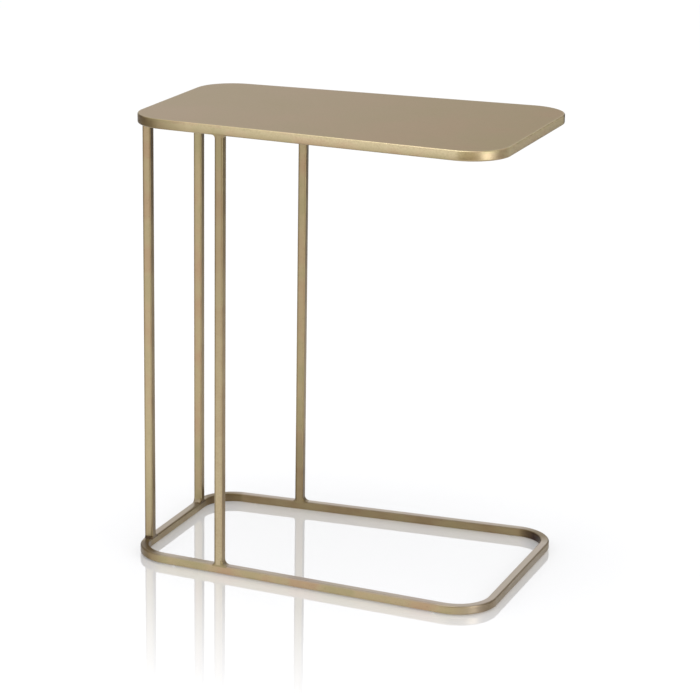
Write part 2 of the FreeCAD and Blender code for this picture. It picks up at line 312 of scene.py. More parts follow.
@dataclass(frozen=True)
class MouldedNylon:
    """Natural white nylon, injection moulded: waxy, slightly translucent, scuffed by the floor."""

    name: str = "nylon_moulded_natural"
    colour: str = "EDEAE0"
    scuffed: str = "CFC9BC"
    scuffs_at: Spot = (0.45, 0.75)  # height of the noise where scuffs begin and are full
    roughness: float = 0.45
    roughness_spread: float = 0.1
    scuff_mm: float = 1.5
    scuff_depth_mm: float = 0.01
    scuff_strength: float = 0.5
    ior: float = 1.53
    waxy_share: float = 0.15
    waxy_depth_mm: float = 1.0

    def build(self) -> Material:
        """Make the material.

        Returns:
            The material.
        """
        material, tree = new_material(self.name)
        place = add(tree, "TexCoord").outputs["Object"]
        noise = {"Vector": place, "Scale": per_metre(self.scuff_mm), "Detail": 4.0}
        scuffs = add(tree, "TexNoise", noise)
        colours = list(zip(self.scuffs_at, (self.colour, self.scuffed)))
        least, most = self.roughness - self.roughness_spread, self.roughness + self.roughness_spread
        spread = add(tree, "MapRange", {"Value": scuffs, "To Min": least, "To Max": most})
        dents = {"Height": scuffs, "Distance": self.scuff_depth_mm * MM, "Strength": self.scuff_strength}
        nylon = {
            "Base Color": add(tree, "ValToRGB", {"Fac": scuffs}, colours),
            "Roughness": spread,
            "IOR": self.ior,
            "Subsurface Weight": self.waxy_share,
            "Subsurface Scale": self.waxy_depth_mm * MM,
            "Normal": add(tree, "Bump", dents),
        }
        add(tree, "OutputMaterial", {"Surface": add(tree, "BsdfPrincipled", nylon)})
        return material


# ---- surfaces ----


@dataclass
class Section:
    """A closed profile, anticlockwise, in millimetres: x goes to the path's side and y to its lift."""

    points: np.ndarray  # (M, 2)
    normals_out: np.ndarray  # (M, 2) normal at the start of the edge that leaves each point
    normals_in: np.ndarray  # (M, 2) normal at the end of that edge

    @classmethod
    def from_strokes(cls, strokes: list[Stroke]) -> "Section":
        """Join strokes end to end.

        Args:
            strokes: the last point of each is the first of the next.

        Returns:
            The section.
        """
        points = np.vstack([places[:-1] for places, _ in strokes])
        normals_out = np.vstack([normals[:-1] for _, normals in strokes])
        normals_in = np.vstack([normals[1:] for _, normals in strokes])
        return cls(points, normals_out, normals_in)

    def facing(self) -> np.ndarray:
        """Normal at each point, midway between those of the two edges that meet there, (M, 2)."""
        both = self.normals_out + np.roll(self.normals_in, 1, axis=0)
        return both / np.linalg.norm(both, axis=1, keepdims=True)

    def around(self) -> np.ndarray:
        """Distance round the section at each point, and at last the whole way round, (M + 1,)."""
        steps = np.roll(self.points, -1, axis=0) - self.points
        return np.concatenate([[0.0], np.cumsum(np.hypot(steps[:, 0], steps[:, 1]))])


def line_stroke(start: Spot, end: Spot, pieces: int = 1) -> Stroke:
    """Straight stroke, with the normal to its right: P(t) = A + t (B - A).

    Args:
        start: first point.
        end: last point.
        pieces: how many edges it has.

    Returns:
        The stroke.
    """
    a, b = np.array(start), np.array(end)
    along = (b - a) / np.linalg.norm(b - a)
    points = a + np.linspace(0, 1, pieces + 1)[:, None] * (b - a)
    return points, np.tile([along[1], -along[0]], (pieces + 1, 1))


def arc_stroke(centre: Spot, radius: float, start_deg: float, end_deg: float, pieces: int) -> Stroke:
    """Round stroke: P(a) = C + r (cos a, sin a), bulging out if a grows and hollow if it falls.

    Args:
        centre: centre of the arc.
        radius: its radius.
        start_deg: angle of its first point.
        end_deg: angle of its last point.
        pieces: how many edges it has.

    Returns:
        The stroke.
    """
    angle = np.radians(np.linspace(start_deg, end_deg, pieces + 1))
    radial = np.stack([np.cos(angle), np.sin(angle)], axis=1)
    return np.array(centre) + radius * radial, radial * np.sign(end_deg - start_deg)


@dataclass
class Run:
    """A path with a frame at each station: tangent x lift = side, so that sections face outward."""

    points: np.ndarray  # (N, 3) millimetres
    side: np.ndarray  # (N, 3)
    lift: np.ndarray  # (N, 3)
    closed: bool

    def distance(self) -> np.ndarray:
        """Distance along the path at each station, and round to the first again where it is closed."""
        points = np.vstack([self.points, self.points[:1]]) if self.closed else self.points
        return np.concatenate([[0.0], np.cumsum(np.linalg.norm(np.diff(points, axis=0), axis=1))])


def stand(name: str, data: bpy.types.ID, axes: Sequence = np.eye(3), place: Place = (0, 0, 0)) -> Piece:
    """Put a mesh, lamp or camera into the scene.

    Args:
        name: the object's name.
        data: what it shows.
        axes: where its own X, Y and Z point.
        place: where its middle is, in millimetres.

    Returns:
        The object.
    """
    pose = Matrix(np.stack(axes, axis=1).tolist()).to_4x4()
    pose.translation = [c * MM for c in place]
    thing = bpy.data.objects.new(name, data)
    thing.matrix_world = pose
    bpy.context.scene.collection.objects.link(thing)
    return thing


def build_mesh(
    name: str,
    points_mm: np.ndarray,
    faces: list[list[int]],
    loop_normals: np.ndarray | None = None,
    loop_uv_mm: np.ndarray | None = None,
    marks: Marks | None = None,
) -> Piece:
    """Put arrays into a mesh object at the origin.

    Args:
        name: the object's name.
        points_mm: vertices, (V, 3).
        faces: vertex numbers of each face.
        loop_normals: shading normal of each face corner, or None to smooth the blunt edges.
        loop_uv_mm: place of each face corner in the UV map, in millimetres.
        marks: what it keeps at its vertices.

    Returns:
        The object.
    """
    mesh = bpy.data.meshes.new(name)
    mesh.from_pydata((points_mm * MM).tolist(), [], faces)
    mesh.validate()
    mesh.polygons.foreach_set("use_smooth", np.ones(len(mesh.polygons), bool))
    if loop_uv_mm is not None:
        layer = mesh.uv_layers.new(name="run_and_girth")
        layer.data.foreach_set("uv", (loop_uv_mm * MM).astype(np.float32).ravel())
    for mark, amounts in (marks or {}).items():
        kept = mesh.attributes.new(mark, "FLOAT", "POINT")
        kept.data.foreach_set("value", amounts.astype(np.float32).ravel())
    if loop_normals is None:
        mesh.set_sharp_from_angle(angle=SMOOTH_BELOW)
    else:
        mesh.normals_split_custom_set(loop_normals.tolist())
    mesh.update()
    return stand(name, mesh)


def sweep(name: str, run: Run, section: Section, marking: Callable[[Run, Section], Marks]) -> Piece:
    """Carry a section along a path: P(i, j) = path(i) + x(j) side(i) + y(j) lift(i).

    Args:
        name: the object's name.
        run: the path.
        section: the profile.
        marking: gives the marks of the vertices, (N, M) each, from the path and the section.

    Returns:
        A closed mesh object, with flat ends where the path is open.
    """
    stations, girth = len(run.points), len(section.points)
    sideways = section.points[None, :, :1] * run.side[:, None]
    upward = section.points[None, :, 1:] * run.lift[:, None]
    points = run.points[:, None] + sideways + upward
    spans = stations if run.closed else stations - 1
    i, j = np.meshgrid(np.arange(spans), np.arange(girth), indexing="ij")
    i_next, j_next = (i + 1) % stations, (j + 1) % girth

    def turned(station: np.ndarray, flat_normals: np.ndarray) -> np.ndarray:
        """Section normals carried into the frame of their station."""
        chosen = flat_normals[j]
        return chosen[..., :1] * run.side[station] + chosen[..., 1:] * run.lift[station]

    along, around = run.distance(), section.around()
    # each face goes from its station to the next, round the section, and back
    corners = [(i, j), (i_next, j), (i_next, j_next), (i, j_next)]
    quads = np.stack([station * girth + point for station, point in corners], axis=-1)
    start, end = section.normals_out, section.normals_in
    facing = [(i, start), (i_next, start), (i_next, end), (i, end)]
    normals = np.stack([turned(station, chosen) for station, chosen in facing], axis=-2)
    unrolled = [(i, j), (i + 1, j), (i + 1, j + 1), (i, j + 1)]
    uv = np.stack([np.stack([along[station], around[near]], axis=-1) for station, near in unrolled], axis=-2)
    faces = quads.reshape(-1, 4).tolist()
    loop_normals, loop_uv = normals.reshape(-1, 3), uv.reshape(-1, 2)
    if not run.closed:
        tangent = np.cross(run.side, run.lift)  # points against the path's own way
        first, last = np.arange(girth), (stations - 1) * girth + np.arange(girth)[::-1]
        faces += [first.tolist(), last.tolist()]
        ends = [np.tile(tangent[0], (girth, 1)), np.tile(-tangent[-1], (girth, 1))]
        loop_normals = np.vstack([loop_normals, *ends])
        loop_uv = np.vstack([loop_uv, section.points, section.points[::-1]])
    return build_mesh(name, points.reshape(-1, 3), faces, loop_normals, loop_uv, marking(run, section))


# ---- the table's shape ----


@dataclass(frozen=True)
class Outline:
    """The table from above: a tapered rectangle with rounded corners, narrower at the spine end."""

    length: float = 517.0
    spine_end_width: float = 279.0
    open_end_width: float = 334.93  # 0.07 mm under the solid's, whose bends are a little flatter
    corner_radius: float = 55.0
    bend_pieces: int = 40
    # where the straights have stations, as shares of the way between their bends
    straight_stations: tuple[float, ...] = (0.03, 0.06, 0.1, 0.5, 0.9, 0.94, 0.97)
    # how dark the narrow end is made, by degrees that its outline has turned to the side
    bend_darkening: Curve = ((0, 0.12), (20, 0.65), (40, 0.65), (60, 0.45), (70, 0.3), (80, 0.2), (88, 0))

    def taper(self) -> float:
        """Change of half width per length along the table."""
        return (self.open_end_width - self.spine_end_width) / (2 * self.length)

    def half_width(self, along: float, inset: float) -> float:
        """Half of the width at a distance from the spine end, between lines inset inside the long sides."""
        return self.spine_end_width / 2 + self.taper() * along - math.hypot(1, self.taper()) * inset

    def bend_start(self) -> float:
        """Distance from the middle plane at which the spine end stops being straight."""
        turn = math.pi / 2 - math.atan(self.taper())
        return self.half_width(0, 0) - self.corner_radius * math.tan(turn / 2)

    def in_open_bend(self, points: np.ndarray) -> np.ndarray:
        """How deep each place lies in a bend of the open end.

        It is 2u x 2v, each held to 1, for the shares u and v of the bend that it is in along and across.

        Args:
            points: places near the outline, (..., 3).

        Returns:
            Depths, 0 to 1.
        """
        along = (points[..., 0] - self.length / 2 + self.corner_radius) / self.corner_radius
        across = (np.abs(points[..., 1]) - self.open_end_width / 2 + self.corner_radius) / self.corner_radius
        return clamp(2 * along) * clamp(2 * across)

    def narrow_end_darkening(self, points: np.ndarray) -> np.ndarray:
        """How dark the narrow end is made: deepest inside its bends, thin between them.

        At (x, y) from the centre of a bend, the outline has turned by the angle of cosine -x / |(x, y)|.

        Args:
            points: places near the outline, (..., 3).

        Returns:
            Amounts, 0 to 1, and none on the long sides.
        """
        x = np.minimum(points[..., 0] - self.corner_radius + self.length / 2, 0)
        y = np.maximum(np.abs(points[..., 1]) - self.bend_start(), 0)
        turned = np.degrees(np.arccos(clamp(-x / np.maximum(np.hypot(x, y), TINY))))
        return follow(self.bend_darkening, turned)

    def loop(self, inset: float, height: float, gap: float = 0.0) -> Run:
        """Path round the table, from the middle of the spine end by way of the front side.

        Between bends it is straight.  A bend's stations are c + r (cos a, sin a), where a runs from normal n1
        of the side before to n2 of the side after, and c = C - r (n1 + n2) / (1 + n1.n2) at corner C.

        Args:
            inset: distance inside the outer faces.
            height: height of the path.
            gap: opening left at the spine end, or 0 for a closed path.

        Returns:
            The path.
        """
        near, far = inset, self.length - inset
        spine_x, open_x = near - self.length / 2, far - self.length / 2
        spine_y, open_y = self.half_width(near, inset), self.half_width(far, inset)
        corners = np.array([(spine_x, -spine_y), (open_x, -open_y), (open_x, open_y), (spine_x, spine_y)])
        ways = np.roll(corners, -1, axis=0) - corners
        ways /= np.linalg.norm(ways, axis=1, keepdims=True)
        after = np.stack([ways[:, 1], -ways[:, 0]], axis=1)
        before = np.roll(after, 1, axis=0)
        radius = self.corner_radius - inset
        cosine = np.sum(before * after, axis=1)
        centres = corners - radius * (before + after) / (1 + cosine)[:, None]
        shares = np.linspace(0, 1, self.bend_pieces + 1)
        starts = np.arctan2(before[:, 1], before[:, 0])[:, None]
        angles = starts + shares[None] * np.arccos(cosine)[:, None]
        normals = np.stack([np.cos(angles), np.sin(angles)], axis=-1)
        bends = centres[:, None] + radius * normals
        on_straights = np.array(self.straight_stations)[None, :, None]
        straights = bends[:3, -1:] + on_straights * (bends[1:, :1] - bends[:3, -1:])
        their_normals = np.repeat(normals[:3, -1:], len(self.straight_stations), axis=1)
        plan = [np.concatenate([bends[:3], straights], axis=1).reshape(-1, 2), bends[3]]
        out = [np.concatenate([normals[:3], their_normals], axis=1).reshape(-1, 2), normals[3]]
        spine_normal = [(-1.0, 0.0)]
        plan = np.vstack([[(spine_x, -gap / 2)], *plan, *([[(spine_x, gap / 2)]] if gap else [])])
        out = np.vstack([spine_normal, *out, *([spine_normal] if gap else [])])
        flat = np.zeros((len(plan), 1))
        lift = np.tile(Z_AXIS, (len(plan), 1))
        return Run(np.hstack([plan, flat + height]), np.hstack([out, flat]), lift, closed=not gap)


@dataclass(frozen=True)
class SquareTube:
    """Welded square steel tube."""

    size: float = 12.0
    corner_radius: float = 2.4
    corner_pieces: int = 6
    flat_pieces: int = 6

    def half(self) -> float:
        """Half of the tube's size."""
        return self.size / 2

    def flat(self) -> float:
        """Half of the flat part of a face."""
        return self.half() - self.corner_radius

    def section(self) -> Section:
        """Outside of the tube about its own axis: a square with rounded corners, made side by side.

        Returns:
            The section.
        """
        reach, flat = self.half(), self.flat()
        strokes = []
        for quarter, (x, y) in enumerate([(1, 0), (0, 1), (-1, 0), (0, -1)]):
            # the face looks along (x, y), and the corner after it lies toward (x - y, x + y)
            start = (reach * x + flat * y, reach * y - flat * x)
            end = (reach * x - flat * y, reach * y + flat * x)
            centre, turned = (flat * (x - y), flat * (x + y)), 90 * quarter
            strokes.append(line_stroke(start, end, self.flat_pieces))
            strokes.append(arc_stroke(centre, self.corner_radius, turned, turned + 90, self.corner_pieces))
        return Section.from_strokes(strokes)


@dataclass(frozen=True)
class RimHighlightAndShade:
    """The rim's painted light: a painted highlight along its front edge and open end, painted shade at the
    back, low down and on one bend, and darker beside the narrow end's bends.
    """

    thickness: float
    front_highlight: Curve = ((-215, 0.15), (-150, 0.5), (-50, 0.65), (200, 0.85))  # painted highlight on the front, by x
    by_bend: Curve = ((-225, 0), (-205, 0.25), (-165, 0))  # brown beside the narrow end's bends, by x
    far_bend_shade: Curve = ((0, 0), (12, 0.75), (75, 0.75), (88, 0))  # painted shade on one bend, by degrees turned back
    end_highlight: float = 0.4  # painted highlight on the open end
    low_shade: float = 0.12  # painted shade toward the lower edge
    back_shade: float = 0.4  # painted shade on the upper edge of the back
    low_edge_shade: float = 0.5  # painted shade within the lowest sixth, away from the front

    def amounts(self, path: Run, depth: np.ndarray, out: np.ndarray) -> tuple[np.ndarray, np.ndarray]:
        """Work out the marks from where the rim faces and the share s of it that lies under a point.

        The front takes a painted highlight of front_highlight x front^6 x s^0.7, and the low painted shade
        grows with (1 - s)^2.

        Args:
            path: the rim's path.
            depth: how deep each point of the section lies under the top, (M,).
            out: how far each point of the section faces outward, (M,).

        Returns:
            Amounts of painted highlight and of darkening, (N, M).
        """
        front, end = clamp(-path.side[:, 1:2]), clamp(path.side[:, :1])
        share = clamp(1 - depth / self.thickness)
        outer = clamp(out)
        # painted shade on the open end's back bend
        far_bend_shade = follow(self.far_bend_shade, np.degrees(np.arctan2(path.side[:, 1:2], path.side[:, :1])))
        # painted highlight along the front and on the open end
        front_lit = front**6 * follow(self.front_highlight, path.points[:, :1]) * share**0.7
        rubbed = outer * (front_lit + self.end_highlight * end**2 * (1 - far_bend_shade))
        # painted shade low down, along the back and on the lower edge
        low = self.low_shade * (1 - share) ** 2
        back = self.back_shade * (1 - front) * (1 - end) * share**3
        low_edge = self.low_edge_shade * (1 - front) * clamp(1 - 6 * share)
        brown_and_shade = outer * (follow(self.by_bend, path.points[:, :1]) + low + back + low_edge)
        return rubbed, 1 - (1 - far_bend_shade * outer) * (1 - brown_and_shade)


@dataclass
class BentRing:
    """Square tube bent round the outline, and the ground weld that closes it at the spine end."""

    name: str
    underside: float
    outline: Outline
    tube: SquareTube
    rim: RimHighlightAndShade | None = None  # for the ring that is a part of the table's rim
    # painted shade under the lower corner, on the open end, inside the ring and deeper inside its open bends,
    # and on its back bend; painted sheen on the open end and on faces that look up
    lower_shade: float = 0.0
    open_end_shade: float = 0.0
    open_end_sheen: float = 2.5  # painted sheen for each part of the painted shade there
    inner_shade: float = 0.5
    open_bend_inner_shade: float = 0.9
    far_bend_painted_shade: float = 0.0
    top_sheen: float = 0.75
    weld_gap: float = 1.5

    def build(self) -> Pieces:
        """Make the tube and its closing weld.

        Returns:
            The pieces.
        """
        path = self.outline.loop(self.tube.half(), self.underside + self.tube.half(), self.weld_gap)
        across_gap = Run(path.points[[-1, 0]], path.side[[-1, 0]], path.lift[[-1, 0]], closed=False)
        section = self.tube.section()
        return {
            self.name: sweep(f"{self.name}_bent_tube", path, section, self._marks),
            f"{self.name}_closing_weld": sweep(f"{self.name}_closing_bead", across_gap, section, self._marks),
        }

    def _marks(self, path: Run, section: Section) -> Marks:
        """Marks: painted shade inside the ring, under its lower corner, on its open end and its back bend,
        darker bends at the narrow end, painted sheen, and a painted highlight on the rim's upper edge.

        Each darkening p leaves 1 - p of the plate bare, and what they all leave bare is their product.

        Args:
            path: the tube's axis.
            section: the tube's section, whose x points out of the ring and y up.

        Returns:
            Amounts by attribute name, (N, M).
        """
        out, up = section.facing().T
        in_open_bend = self.outline.in_open_bend(path.points)[:, None]
        # painted shade on the inner faces, deeper in the open end's bends
        deeper = (self.open_bend_inner_shade - self.inner_shade) * in_open_bend
        inner = (self.inner_shade + deeper) * clamp(-out)
        # painted shade under the lower corner
        under = self.lower_shade * clamp(-up)
        # painted shade on the outer faces of the open end
        at_end = self.open_end_shade * clamp(path.side[:, :1]) ** 2 * clamp(out)
        # painted shade on the open end's back bend
        far_bend_shade = self.far_bend_painted_shade * in_open_bend * (path.points[:, 1:2] > 0)
        bend_darkening = np.maximum(self.outline.narrow_end_darkening(path.points)[:, None], far_bend_shade)
        patina = 1 - (1 - bend_darkening) * (1 - inner) * (1 - under) * (1 - at_end)
        # painted sheen on the faces that look up and on the open end
        bloom = np.maximum(self.top_sheen * clamp(up), self.open_end_sheen * at_end)
        if self.rim is None:
            return {"patina": patina, "bloom": bloom}
        # the rim's painted highlight and painted shade
        depth = self.rim.thickness - self.tube.half() - section.points[:, 1]
        rubbed, brown_and_shade = self.rim.amounts(path, depth, out)
        return {"patina": 1 - (1 - patina) * (1 - brown_and_shade), "rubbed": rubbed, "bloom": bloom}


@dataclass(frozen=True)
class WeldLegs:
    """How far a fillet weld reaches along the rail, towards local +X and towards local -X."""

    ahead: float
    behind: float


@dataclass(frozen=True)
class AgeingAndShade:
    """How brown an upright is by place, 0 to 1, partly aged and partly painted shade, and how much painted
    highlight it takes.
    """

    overall: float
    # painted shade on the side faces
    sides: float
    foot: float  # added on the foot weld, and fading up the tube
    low_front_highlight: float = 0.0  # painted highlight on the front face at the foot, falling to none at the head
    under_top: float = 0.25  # painted shade added on the sides at the head, under the top, and fading down the tube
    corners: float = 0.2  # painted dark reflection on the corners toward the spine end
    bend_side: float = 0.0  # on the foot weld's fillet that faces away from local +X
    head_weld: float = 0.3  # on the head weld, where it meets the ring
    fade: float = 125.0  # length over which the foot's darkening and the head's painted shade fade
    most_on_tube: float = 0.8
    most_on_weld: float = 0.9
    weld_sheen: float = 0.75  # painted sheen on the foot weld, where it looks up
    left_on_back: float = 0.4  # share of the sides' painted shade kept on the back

    def kept(self, toward_back: np.ndarray) -> np.ndarray:
        """Share of the painted side shade left where a surface faces: none on the front, less than half on
        the back.
        """
        return 1 - clamp(-toward_back) - (1 - self.left_on_back) * clamp(toward_back) ** 2


@dataclass
class Upright:
    """Square tube between the rings, with a dressed fillet weld at its foot and head."""

    name: str
    x: float
    y: float
    yaw: float  # radians, turns local +X to run along the rail
    foot: WeldLegs
    head: WeldLegs
    ageing_and_shade: AgeingAndShade
    bottom: float
    top: float
    tube: SquareTube
    outline: Outline
    stations: int = 25
    weld_rows: int = 8
    weld_curve_pieces: int = 20
    weld_root: float = 0.02  # least thickness, hidden between the upright's end and the rail

    def build(self) -> Pieces:
        """Make the tube and its two welds.

        Returns:
            The pieces.
        """
        return {
            self.name: self._tube(),
            f"{self.name}_foot_weld": self._weld("foot", self.foot, self.bottom, upward=True),
            f"{self.name}_head_weld": self._weld("head", self.head, self.top, upward=False),
        }

    def _axes(self, upward: bool) -> np.ndarray:
        """Work out the frame of a joint.

        Args:
            upward: whether the upright rises from it.

        Returns:
            Rows local X along the rail, local Y, and local Z, which points into the upright.
        """
        ahead = np.array([math.cos(self.yaw), math.sin(self.yaw), 0.0])
        up = Z_AXIS if upward else -Z_AXIS
        return np.stack([ahead, np.cross(up, ahead), up])

    def _tube(self) -> Piece:
        """Make the upright's tube, a straight run from the base ring to the top ring.

        Returns:
            The tube.
        """
        ahead, across, _ = self._axes(upward=True)
        heights = np.linspace(self.bottom, self.top, self.stations)[:, None]
        points = np.hstack([np.full_like(heights, self.x), np.full_like(heights, self.y), heights])
        # tangent x lift = side holds for lift = -local Y and side = local X
        run = Run(points, np.tile(ahead, (len(points), 1)), np.tile(-across, (len(points), 1)), closed=False)
        return sweep(f"{self.name}_tube", run, self.tube.section(), self._marks)

    def _marks(self, run: Run, section: Section) -> Marks:
        """Marks: painted shade on the sides, most of all under the top, and on the corners toward the spine
        end; brown over all and darker at the foot; and a painted highlight on the front face low down.

        Args:
            run: the tube's axis.
            section: the tube's section.

        Returns:
            Amounts by attribute name, (N, M).
        """
        age = self.ageing_and_shade
        across, lift = section.facing().T
        toward_back = run.side[:, 1:2] * across + run.lift[:, 1:2] * lift
        height = run.points[:, 2:]
        near_head = np.interp(height, [self.top - age.fade, self.top], [0, 1])
        near_foot = np.interp(height, [self.bottom, self.bottom + age.fade], [1, 0])
        low = 1 - (height - self.bottom) / (self.top - self.bottom)
        # painted shade on the side faces, most of all under the top
        kept = age.kept(toward_back) * (age.sides + age.under_top * near_head)
        # painted dark reflection on the corners toward the spine end
        from_corner, flat = np.abs(section.points).min(axis=1), self.tube.flat()
        to_spine_end = run.side[:, :1] * section.points[:, 0] + run.lift[:, :1] * section.points[:, 1] < 0
        corners = age.corners * np.interp(from_corner, [2 * flat / 3, flat], [0, 1]) * to_spine_end
        patina = age.overall + kept + corners + age.foot * near_foot
        # painted highlight on the front face, low down
        rubbed = age.low_front_highlight * low * clamp(-toward_back)
        return {"patina": np.clip(patina, 0, age.most_on_tube), "rubbed": rubbed}

    def _weld(self, end: str, legs: WeldLegs, height: float, upward: bool) -> Piece:
        """Make one weld as a stack of side views across the rail.

        Every side view is a hollow fillet each side of the upright, of leg L and with h half of its size:
        (h + L (1 - sin a), L (1 - cos a)) from a = 0 on the rail to a = 90 degrees on the upright.  Towards
        the rail's side faces it sinks by d, following the tube's rounded corner, along the fillet's normal:
        y = f + r sin b and d = r (1 - cos b), where f is half of the tube's flat and b runs to 90 degrees.

        Args:
            end: which end of the upright it holds.
            legs: its legs.
            height: height of the face that it stands on.
            upward: whether the upright rises from that face.

        Returns:
            The weld.
        """
        radius, flat = self.tube.corner_radius, self.tube.flat()
        turn = np.radians(np.linspace(0, 90, self.weld_rows + 1))
        side_rows, side_sink = flat + radius * np.sin(turn), radius * (1 - np.cos(turn))
        rows = np.concatenate([-side_rows[::-1], side_rows])
        sink = np.concatenate([side_sink[::-1], side_sink])
        right_x, right_z = self._fillet(legs.ahead, sink)
        left_x, left_z = self._fillet(legs.behind, sink)
        # over the top from the left toe to the right toe, then back along the rail
        over_x = np.hstack([-left_x, right_x[:, ::-1]])
        over_z = np.hstack([left_z, right_z[:, ::-1]])
        under_x = over_x[:, ::-1][:, 1:-1]
        under_z = np.repeat(-sink[:, None], under_x.shape[1], axis=1)
        ring_x, ring_z = np.hstack([over_x, under_x]), np.hstack([over_z, under_z])
        ring_y = np.repeat(rows[:, None], ring_x.shape[1], axis=1)
        axes = self._axes(upward)
        points = np.stack([ring_x, ring_y, ring_z], axis=-1) @ axes + np.array([self.x, self.y, height])
        faces = self._weld_faces(len(rows), over_x.shape[1], ring_x.shape[1])
        sideways = clamp((np.abs(rows) - flat) / radius)[:, None]
        faces_back = sideways * np.sign(rows)[:, None] * axes[1, 1]
        toward_back = faces_back + (1 - sideways) * np.sign(ring_x) * axes[0, 1]
        low = clamp(1 - ring_z / max(legs.ahead, legs.behind))
        age = self.ageing_and_shade
        # painted shade on the fillet's sides, as on the tube's sides
        on_sides = age.sides + (0.0 if upward else age.under_top)
        patina = age.overall + age.kept(toward_back) * on_sides * (1 - low * (1 - sideways))
        bend_side = age.bend_side * (ring_x < 0) * (1 - sideways)
        patina = patina + (age.foot + bend_side if upward else age.head_weld * low)
        patina = patina + self.outline.narrow_end_darkening(points) * low
        # painted sheen where the foot weld looks up
        bloom = age.weld_sheen * low * (1 - sideways) * upward
        marks = {"patina": np.clip(patina, 0, age.most_on_weld), "bloom": bloom}
        return build_mesh(f"{self.name}_{end}_fillet", points.reshape(-1, 3), faces, marks=marks)

    def _fillet(self, leg: float, sink: np.ndarray) -> tuple[np.ndarray, np.ndarray]:
        """Curve of one fillet in each side view, from its toe on the rail to its top on the upright.

        The curve's normal at angle a is (sin a, cos a), and it sinks along that normal.  Its last point ends
        the fillet a hair above and inside the corner that it fills, so that the weld is thick everywhere.

        Args:
            leg: the fillet's leg.
            sink: how deep each side view lies under the flat faces, (R,).

        Returns:
            Distances from the upright's axis and heights, (R, K).
        """
        angle = np.radians(np.linspace(0, 90, self.weld_curve_pieces + 1))[None]
        half, depth = self.tube.half(), sink[:, None]
        x = half + leg * (1 - np.sin(angle)) - depth * np.sin(angle)
        z = leg * (1 - np.cos(angle)) - depth * np.cos(angle)
        foot_x = half - depth - self.weld_root
        return np.hstack([x, foot_x]), np.hstack([z, np.full_like(foot_x, self.weld_root)])

    @staticmethod
    def _weld_faces(rows: int, over: int, girth: int) -> list[list[int]]:
        """Faces between the side views, and the webs that close the two side faces.

        Args:
            rows: number of side views.
            over: points of the upper line of a side view.
            girth: points all round a side view.

        Returns:
            Vertex numbers of each face.
        """
        i, j = np.meshgrid(np.arange(rows - 1), np.arange(girth), indexing="ij")
        here, after = i * girth + j, i * girth + (j + 1) % girth
        skin = np.stack([here, after, after + girth, here + girth], axis=-1)
        upper = np.arange(over)
        lower = (girth - upper) % girth  # the point of the lower line under each point of the upper line
        lower[-1] = over - 1
        web = np.stack([upper[:-1], lower[:-1], lower[1:], upper[1:]], axis=-1)
        far_web = (web + (rows - 1) * girth)[:, ::-1]
        quads = np.vstack([skin.reshape(-1, 4), web, far_web]).tolist()
        return [list(dict.fromkeys(quad)) for quad in quads]


